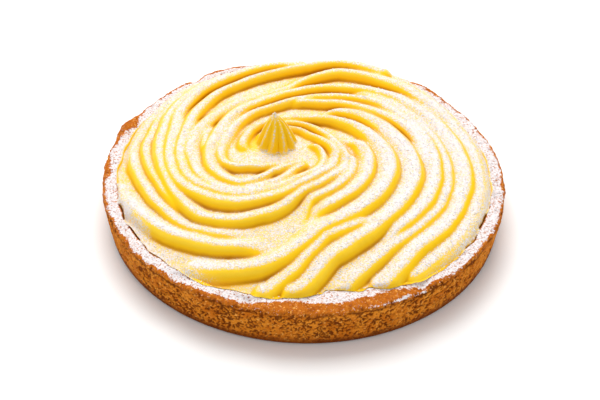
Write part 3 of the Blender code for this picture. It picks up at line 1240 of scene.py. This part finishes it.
    def build(self) -> bpy.types.Object:
        """Fit the disc to the shell, raise the piped top and note where sugar lies.

        Returns:
            The cream, with its sugar, its painted crack shadow and its crests stored.
        """
        relief_map, exposed_map = self.maps()
        piece = self.round_grid()
        self.close_underneath(piece)
        at = self.spread(mesh_points(piece), relief_map)
        swayed = self.swayed(at.x, at.y)
        relief = relief_map.at(*swayed)
        points = np.column_stack((at.x, at.y, self.heights(at, relief)))
        move_points(piece, points)

        # raised puts more sugar on the crests and, once stored, sets the painted shade in creases
        # and the painted highlight on crests.
        raised = (relief - relief_map.softened(self.crest_reach).at(*swayed)) / self.crest_height
        raised *= np.maximum(at.front, ramp(at.inside, 0.0, self.sugared_edge))
        # Painted shadow along the crack, on the cream's edge where it has come away from the shell.
        stain = at.parted * ramp(at.inside, self.crack_shadow_width, 0.0)
        sugar = self.sugar(at, exposed_map.at(*swayed), raised, point_normals(piece)[:, 2])
        sugar *= 1.0 - stain
        powder = self.powder_share + self.powder.at(flat_points(at.x, at.y))
        powder = self.powder_depth * powder * np.clip(sugar, 0.0, 1.0)
        points[:, 2] += powder * ramp(at.inside, 0.0, self.powder_from_edge)
        move_points(piece, points)
        only(piece)
        bpy.ops.object.shade_smooth_by_angle(angle=math.radians(self.sharp_angle))
        store(piece, Stored.SUGAR, sugar)
        store(piece, Stored.CRACK_SHADOW, stain)
        store(piece, Stored.CREST, 0.5 + raised)
        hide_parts("lemon_cream")
        return piece


# ---- Sugar grains ----


@dataclass
class SugarGrains:
    """Small clumps of icing sugar that lie on the cream and on the rim."""

    count: int = 8500
    smallest: float = 0.16 * MM
    largest: float = 0.42 * MM
    flatness: float = 0.8
    raised: float = 0.1 * MM
    least_sugar: float = 0.25
    evenness: float = 0.7
    lumps: Unevenness = Unevenness(0.7, 3.0)
    lump_share: float = 0.3
    seed: int = 20

    def clump(self) -> tuple[np.ndarray, np.ndarray]:
        """One uneven clump of radius 1, modelled once.

        Returns:
            Its points and its triangles.
        """
        bpy.ops.object.select_all(action="DESELECT")
        bpy.ops.mesh.primitive_ico_sphere_add(subdivisions=1, radius=1.0)
        ball = bpy.context.object
        points = mesh_points(ball)
        points *= (1.0 + self.lump_share * self.lumps.at(points))[:, None]
        faces = np.array([polygon.vertices[:] for polygon in ball.data.polygons])
        bpy.data.objects.remove(ball, do_unlink=True)
        return points, faces

    def places(self, grounds: list[bpy.types.Object], rng: np.random.Generator) -> np.ndarray:
        """Choose where the clumps lie, more of them where there is more sugar.

        Args:
            grounds: Pieces with a stored amount of sugar.
            rng: The random numbers.

        Returns:
            Rows of x, y and z, one for each clump.
        """
        points = np.concatenate([mesh_points(ground) for ground in grounds])
        sugar = np.concatenate([stored(ground, Stored.SUGAR) for ground in grounds])
        chances = np.clip(sugar - self.least_sugar, 0.0, 1.0) ** self.evenness
        chances /= chances.sum()
        return points[rng.choice(len(points), self.count, replace=False, p=chances)]

    def build(self, grounds: list[bpy.types.Object]) -> bpy.types.Object:
        """Scatter clumps over the sugared points of the given pieces.

        Args:
            grounds: Pieces with a stored amount of sugar.

        Returns:
            One piece with all the clumps.
        """
        rng = np.random.default_rng(self.seed)
        places = self.places(grounds, rng)
        points, faces = self.clump()
        size = self.smallest + (self.largest - self.smallest) * rng.random(self.count) ** 2
        turn = (rng.random(self.count) * math.tau)[:, None]
        x, y, z = points.T[:, None, :]
        spun = np.stack((x * np.cos(turn) - y * np.sin(turn),
                         x * np.sin(turn) + y * np.cos(turn),
                         np.repeat(z * self.flatness, self.count, axis=0)), axis=-1)
        spun = spun * size[:, None, None] + places[:, None, :] + np.array([0.0, 0.0, self.raised])
        corners = faces[None] + len(points) * np.arange(self.count)[:, None, None]
        mesh = bpy.data.meshes.new("icing_sugar_grains")
        mesh.from_pydata(spun.reshape(-1, 3).tolist(), [], corners.reshape(-1, 3).tolist())
        mesh.shade_smooth()
        piece = bpy.data.objects.new("icing_sugar_grains", mesh)
        bpy.context.scene.collection.objects.link(piece)
        return piece


# ---- Finishes ----


@dataclass(frozen=True)
class Speckle:
    """Specks of a tint: where noise of a size, in metres, passes from low to high."""

    size: float
    detail: float
    low: float
    high: float
    share: float = 1.0


class Sum(Enum):
    """The sums that a material does on two values, by the names of the Math node."""

    PLUS = "ADD"
    TIMES = "MULTIPLY"


class Graph:
    """A material's node tree, with short calls that add and join its nodes."""

    def __init__(self, name: str) -> None:
        """Start a material with a Principled shader.

        Args:
            name: Name of the material.
        """
        self.material = bpy.data.materials.new(name)
        self.material.use_nodes = True
        self.tree = self.material.node_tree
        self.shader = self.tree.nodes["Principled BSDF"]
        self.place = self.tree.nodes.new("ShaderNodeTexCoord").outputs["Object"]

    def put(self, value: Value, socket: bpy.types.NodeSocket) -> None:
        """Join an output to a socket, or set the socket to a plain value.

        Args:
            value: The output or the plain value.
            socket: Where it goes.
        """
        if isinstance(value, bpy.types.NodeSocket):
            self.tree.links.new(value, socket)
        else:
            socket.default_value = value

    def set(self, name: str, value: Value) -> None:
        """Set one of the shader's inputs."""
        self.put(value, self.shader.inputs[name])

    def noise(self, size: float, detail: float = 2.0) -> bpy.types.NodeSocket:
        """Noise from 0 to 1.

        Args:
            size: Size of its features in metres.
            detail: How many finer layers it has.

        Returns:
            The noise.
        """
        node = self.tree.nodes.new("ShaderNodeTexNoise")
        node.inputs["Scale"].default_value = 1.0 / size
        node.inputs["Detail"].default_value = detail
        self.tree.links.new(self.place, node.inputs["Vector"])
        return node.outputs["Fac"]

    def stored(self, name: Stored) -> bpy.types.NodeSocket:
        """A number that the mesh stores at its points.

        Args:
            name: Which number.

        Returns:
            The number.
        """
        node = self.tree.nodes.new("ShaderNodeAttribute")
        node.attribute_name = name.value
        return node.outputs["Fac"]

    def sum(self, kind: Sum, first: Value, second: Value) -> bpy.types.NodeSocket:
        """A sum on two values.

        Args:
            kind: Which sum.
            first: The first value.
            second: The second value.

        Returns:
            The result.
        """
        node = self.tree.nodes.new("ShaderNodeMath")
        node.operation = kind.value
        self.put(first, node.inputs[0])
        self.put(second, node.inputs[1])
        return node.outputs[0]

    def times(self, first: Value, second: Value) -> bpy.types.NodeSocket:
        """One value times another."""
        return self.sum(Sum.TIMES, first, second)

    def ease(self, value: Value, low: float, high: float) -> bpy.types.NodeSocket:
        """Ease from 0 to 1 as a value runs from low to high.

        Args:
            value: The value.
            low: Where the result is 0.
            high: Where the result is 1.

        Returns:
            The eased value.
        """
        node = self.tree.nodes.new("ShaderNodeMapRange")
        node.interpolation_type = "SMOOTHSTEP"
        node.inputs["From Min"].default_value = low
        node.inputs["From Max"].default_value = high
        self.put(value, node.inputs["Value"])
        return node.outputs["Result"]

    def mix(self, share: Value, first: Value, second: Value) -> bpy.types.NodeSocket:
        """A colour between two colours.

        Args:
            share: 0 for the first colour to 1 for the second.
            first: The first colour.
            second: The second colour.

        Returns:
            The mixed colour.
        """
        node = self.tree.nodes.new("ShaderNodeMix")
        node.data_type = "RGBA"
        self.put(share, node.inputs[0])
        self.put(first, node.inputs[6])
        self.put(second, node.inputs[7])
        return node.outputs[2]

    def between(self, share: Value, low: float, high: float) -> bpy.types.NodeSocket:
        """A number from low, where share is 0, to high, where it is 1."""
        return self.sum(Sum.PLUS, self.times(share, high - low), low)

    def swayed(self, value: Value, pattern: Value, sway: float) -> bpy.types.NodeSocket:
        """A value moved up and down by a pattern, by as much as sway."""
        return self.sum(Sum.PLUS, value, self.between(pattern, -sway, sway))

    def specks(self, speckle: Speckle) -> bpy.types.NodeSocket:
        """How far specks cover each place, from 0 to their share."""
        pattern = self.noise(speckle.size, speckle.detail)
        return self.times(self.ease(pattern, speckle.low, speckle.high), speckle.share)

    def bump(self, height: Value, depth: float) -> None:
        """Give the surface small relief.

        Args:
            height: The relief, from 0 to 1.
            depth: Its depth in metres.
        """
        node = self.tree.nodes.new("ShaderNodeBump")
        node.inputs["Distance"].default_value = depth
        self.put(height, node.inputs["Height"])
        self.set("Normal", node.outputs["Normal"])


SUGAR_WHITE: Colour = (0.78, 0.74, 0.75, 1.0)
SUGAR_BRIGHT: Colour = (0.84, 0.80, 0.81, 1.0)
SUGAR_SHADE: Colour = (0.56, 0.40, 0.22, 1.0)


@dataclass(frozen=True)
class BakedCrust:
    """Golden shortcrust, browner at its rim and dusted with sugar, with painted shade in its
    hollows, at its foot and along the crack, and painted highlights in specks.
    """

    golden: Colour = (0.55, 0.145, 0.006, 1.0)
    pale: Colour = (0.72, 0.24, 0.018, 1.0)
    # A painted highlight, scattered in specks over the crumb as if on its lit raised tips.
    tip_highlight: Colour = (0.95, 0.48, 0.11, 1.0)
    brown: Colour = (0.46, 0.12, 0.008, 1.0)
    dark: Colour = (0.12, 0.020, 0.001, 1.0)
    scorched: Colour = (0.22, 0.04, 0.004, 1.0)
    pale_patches: Speckle = Speckle(6 * MM, 2.0, 0.35, 0.65)
    scorched_spots: Speckle = Speckle(2.5 * MM, 3.0, 0.5, 0.7, share=0.6)
    dark_specks: Speckle = Speckle(0.9 * MM, 3.0, 0.52, 0.72, share=0.45)
    highlight_specks: Speckle = Speckle(1.3 * MM, 2.0, 0.56, 0.72, share=0.6)
    shade_share: float = 0.85
    shaded_hollow: Limits = (0.08, 0.7)
    fine_sugar: float = 0.3 * MM
    fine_sway: float = 0.4
    clumped_sugar: float = 1.1 * MM
    clumped_sway: float = 0.6
    sugar_edge: Limits = (0.40, 0.58)
    roughness: float = 0.72
    sugar_roughness: float = 0.9
    gloss: float = 0.05
    bump_depth: float = 0.25 * MM

    def crumb(self, graph: Graph) -> bpy.types.NodeSocket:
        """Colour of the bare crust, with its painted shade and painted highlights.

        Args:
            graph: The material's node tree.

        Returns:
            The colour.
        """
        browned = graph.stored(Stored.BROWNED)
        hollow = graph.ease(graph.stored(Stored.PAINTED_SHADE), *self.shaded_hollow)
        colour = graph.mix(graph.specks(self.pale_patches), self.golden, self.pale)
        colour = graph.mix(graph.times(browned, self.shade_share), colour, self.brown)
        spots = graph.times(graph.specks(self.scorched_spots), browned)
        colour = graph.mix(spots, colour, self.scorched)
        colour = graph.mix(graph.specks(self.dark_specks), colour, self.dark)
        # Painted highlight: lighter golden specks at random over the crumb.
        colour = graph.mix(graph.specks(self.highlight_specks), colour, self.tip_highlight)
        # Painted shade: darker in the stored hollows, groove, foot and crack.
        return graph.mix(graph.times(hollow, self.shade_share), colour, self.dark)

    def material(self) -> bpy.types.Material:
        """The crust's material.

        Returns:
            The bare crust under its sugar.
        """
        graph = Graph("baked_crust")
        fine = graph.noise(self.fine_sugar, 1.0)
        cover = graph.swayed(graph.stored(Stored.SUGAR), fine, self.fine_sway)
        cover = graph.swayed(cover, graph.noise(self.clumped_sugar), self.clumped_sway)
        mask = graph.ease(cover, *self.sugar_edge)
        graph.set("Base Color", graph.mix(mask, self.crumb(graph), SUGAR_WHITE))
        graph.set("Roughness", graph.between(mask, self.roughness, self.sugar_roughness))
        graph.set("Specular IOR Level", self.gloss)
        graph.bump(graph.noise(self.dark_specks.size, self.dark_specks.detail), self.bump_depth)
        return graph.material


@dataclass(frozen=True)
class LemonCream:
    """Soft glossy yellow cream under a dusting of sugar, with painted shade in its creases, a
    painted highlight on its crests and a painted shadow along the crack where it left the shell.
    """

    # The next four colours are lit and shaded copies of the cream's yellow: the two darkest are
    # painted shade in the creases, light is a painted highlight on the crests.
    crease_shade: Colour = (0.44, 0.16, 0.001, 1.0)
    deep: Colour = (0.78, 0.39, 0.002, 1.0)
    yellow: Colour = (0.94, 0.57, 0.006, 1.0)
    light: Colour = (0.97, 0.68, 0.055, 1.0)
    milky: Colour = (0.92, 0.70, 0.25, 1.0)
    # Painted shadow along the crack where the cream has come away.
    brown: Colour = (0.46, 0.16, 0.02, 1.0)
    deep_crests: Limits = (0.05, 0.38)
    yellow_crests: Limits = (0.25, 0.52)
    light_crests: Limits = (0.50, 0.9)
    film_sugar: Limits = (0.0, 0.4)
    film_share: float = 0.8
    crack_shadow_share: float = 0.85
    sugar_share: float = 0.95
    grain_size: float = 0.8 * MM
    grain_sway: float = 1.5
    clump_size: float = 3 * MM
    clump_sway: float = 0.35
    sugar_edge: Limits = (0.22, 0.62)
    least_sugar: Limits = (0.04, 0.24)
    shade_specks: Speckle = Speckle(1.0 * MM, 3.0, 0.52, 0.64)
    shaded_sugar: Limits = (0.1, 0.4)
    thick_sugar: Limits = (0.65, 0.95)
    shade_on_thin: float = 0.45
    shade_on_thick: float = 0.1
    roughness: float = 0.28
    sugar_roughness: float = 0.85
    gloss: float = 0.12
    glow: float = 0.2
    glow_reach: Triple = (1.0, 0.7, 0.2)
    glow_scale: float = 1.2 * MM
    bump_depth: float = 0.2 * MM

    def cream(self, graph: Graph, sugar: bpy.types.NodeSocket) -> bpy.types.NodeSocket:
        """Colour of the cream: painted shade deepens it in creases and a painted highlight lightens
        it on crests; it is milky under sugar, and a painted shadow darkens the crack.

        Args:
            graph: The material's node tree.
            sugar: The amount of sugar.

        Returns:
            The colour.
        """
        crest = graph.stored(Stored.CREST)
        # Painted shade in the creases and a painted highlight on the crests, set by how far the
        # cream stands above its surroundings.
        colour = graph.mix(graph.ease(crest, *self.deep_crests), self.crease_shade, self.deep)
        colour = graph.mix(graph.ease(crest, *self.yellow_crests), colour, self.yellow)
        colour = graph.mix(graph.ease(crest, *self.light_crests), colour, self.light)
        film = graph.times(graph.ease(sugar, *self.film_sugar), self.film_share)
        colour = graph.mix(film, colour, self.milky)
        # Painted shadow along the crack.
        stain = graph.times(graph.stored(Stored.CRACK_SHADOW), self.crack_shadow_share)
        return graph.mix(stain, colour, self.brown)

    def material(self) -> bpy.types.Material:
        """The cream's material.

        Returns:
            The cream under its sugar.
        """
        graph = Graph("lemon_cream")
        sugar = graph.stored(Stored.SUGAR)
        grain = graph.noise(self.grain_size)
        cover = graph.swayed(sugar, grain, self.grain_sway)
        cover = graph.swayed(cover, graph.noise(self.clump_size), self.clump_sway)
        enough = graph.ease(sugar, *self.least_sugar)
        mask = graph.times(graph.ease(cover, *self.sugar_edge), enough)
        share = graph.times(mask, self.sugar_share)
        colour = graph.mix(share, self.cream(graph, sugar), SUGAR_WHITE)
        thickness = graph.ease(sugar, *self.thick_sugar)
        shade = graph.between(thickness, self.shade_on_thin, self.shade_on_thick)
        shaded = graph.ease(sugar, *self.shaded_sugar)
        specks = graph.times(graph.times(graph.specks(self.shade_specks), shaded), shade)
        graph.set("Base Color", graph.mix(specks, colour, SUGAR_SHADE))
        graph.set("Roughness", graph.between(mask, self.roughness, self.sugar_roughness))
        graph.set("Specular IOR Level", self.gloss)
        graph.set("Subsurface Weight", self.glow)
        graph.set("Subsurface Radius", self.glow_reach)
        graph.set("Subsurface Scale", self.glow_scale)
        graph.bump(graph.times(grain, mask), self.bump_depth)
        return graph.material


@dataclass(frozen=True)
class IcingSugar:
    """Loose white icing sugar."""

    bright_patches: Speckle = Speckle(3 * MM, 2.0, 0.3, 0.7)
    roughness: float = 0.9

    def material(self) -> bpy.types.Material:
        """The grains' material.

        Returns:
            White sugar, a little uneven.
        """
        graph = Graph("icing_sugar")
        bright = graph.specks(self.bright_patches)
        graph.set("Base Color", graph.mix(bright, SUGAR_WHITE, SUGAR_BRIGHT))
        graph.set("Roughness", self.roughness)
        return graph.material


# ---- Studio ----


@dataclass
class Studio:
    """A plain white floor, soft light and the camera."""

    floor_size: float = 6.0
    floor_shade: Colour = (0.93, 0.93, 0.93, 1.0)
    floor_white: Colour = (0.95, 0.95, 0.95, 1.0)
    floor_patches: float = 200 * MM
    floor_roughness: float = 0.9

    sky_white: Colour = (1.0, 1.0, 1.0, 1.0)
    sky_strength: float = 0.74
    softbox_place: Triple = (-0.15, 0.75, 1.3)
    softbox_size: float = 1.2
    softbox_power: float = 22.0
    softbox_tint: Triple = (1.0, 0.99, 0.97)

    elevation: float = 39.43
    distance: float = 0.77
    sensor_width: float = 36.0
    lens: float = 82.93
    roll: float = 1.56
    target_height: float = 3 * MM
    shift_x: float = -3.5 / 600.0
    shift_y: float = 3.8 / 600.0

    def floor(self) -> None:
        """Lay the white floor that the tart stands on."""
        bpy.ops.object.select_all(action="DESELECT")
        bpy.ops.mesh.primitive_plane_add(size=self.floor_size)
        floor = bpy.context.object
        floor.name = "floor"
        graph = Graph("white_floor")
        patches = graph.noise(self.floor_patches)
        graph.set("Base Color", graph.mix(patches, self.floor_shade, self.floor_white))
        graph.set("Roughness", self.floor_roughness)
        floor.data.materials.append(graph.material)

    def light(self) -> None:
        """Soft white light all round, and a broad softbox behind on the left."""
        world = bpy.data.worlds.new("studio")
        world.use_nodes = True
        background = world.node_tree.nodes["Background"]
        background.inputs["Color"].default_value = self.sky_white
        background.inputs["Strength"].default_value = self.sky_strength
        bpy.context.scene.world = world
        world.cycles_visibility.glossy = False
        light = bpy.data.lights.new("back_softbox", "AREA")
        light.size = self.softbox_size
        light.energy = self.softbox_power
        light.color = self.softbox_tint
        lamp = bpy.data.objects.new("back_softbox", light)
        lamp.location = self.softbox_place
        lamp.rotation_euler = (-Vector(self.softbox_place)).to_track_quat("-Z", "Y").to_euler()
        bpy.context.scene.collection.objects.link(lamp)
        bpy.context.scene.view_settings.view_transform = "Standard"

    def camera(self) -> None:
        """Place the camera at the photograph's viewing angle."""
        data = bpy.data.cameras.new("camera")
        data.sensor_width = self.sensor_width
        data.lens = self.lens
        data.shift_x = self.shift_x
        data.shift_y = self.shift_y
        camera = bpy.data.objects.new("camera", data)
        tilt = math.radians(self.elevation)
        back = Vector((0.0, -math.cos(tilt), math.sin(tilt)))
        camera.location = back * self.distance + Vector((0.0, 0.0, self.target_height))
        camera.rotation_euler = (-back).to_track_quat("-Z", "Y").to_euler()
        camera.rotation_euler.rotate_axis("Z", math.radians(self.roll))
        bpy.context.scene.collection.objects.link(camera)
        bpy.context.scene.camera = camera


def main() -> None:
    """Build the tart and its studio."""
    logging.basicConfig(level=logging.INFO)
    opening = Opening()
    crust = Shell(opening).build()
    finished(crust, BakedCrust().material())
    cream = Cream(opening, Swirl(), Dusting()).build()
    finished(cream, LemonCream().material())
    grains = SugarGrains().build([cream, crust])
    finished(grains, IcingSugar().material())
    studio = Studio()
    studio.floor()
    studio.light()
    studio.camera()


if __name__ == "__main__":
    main()
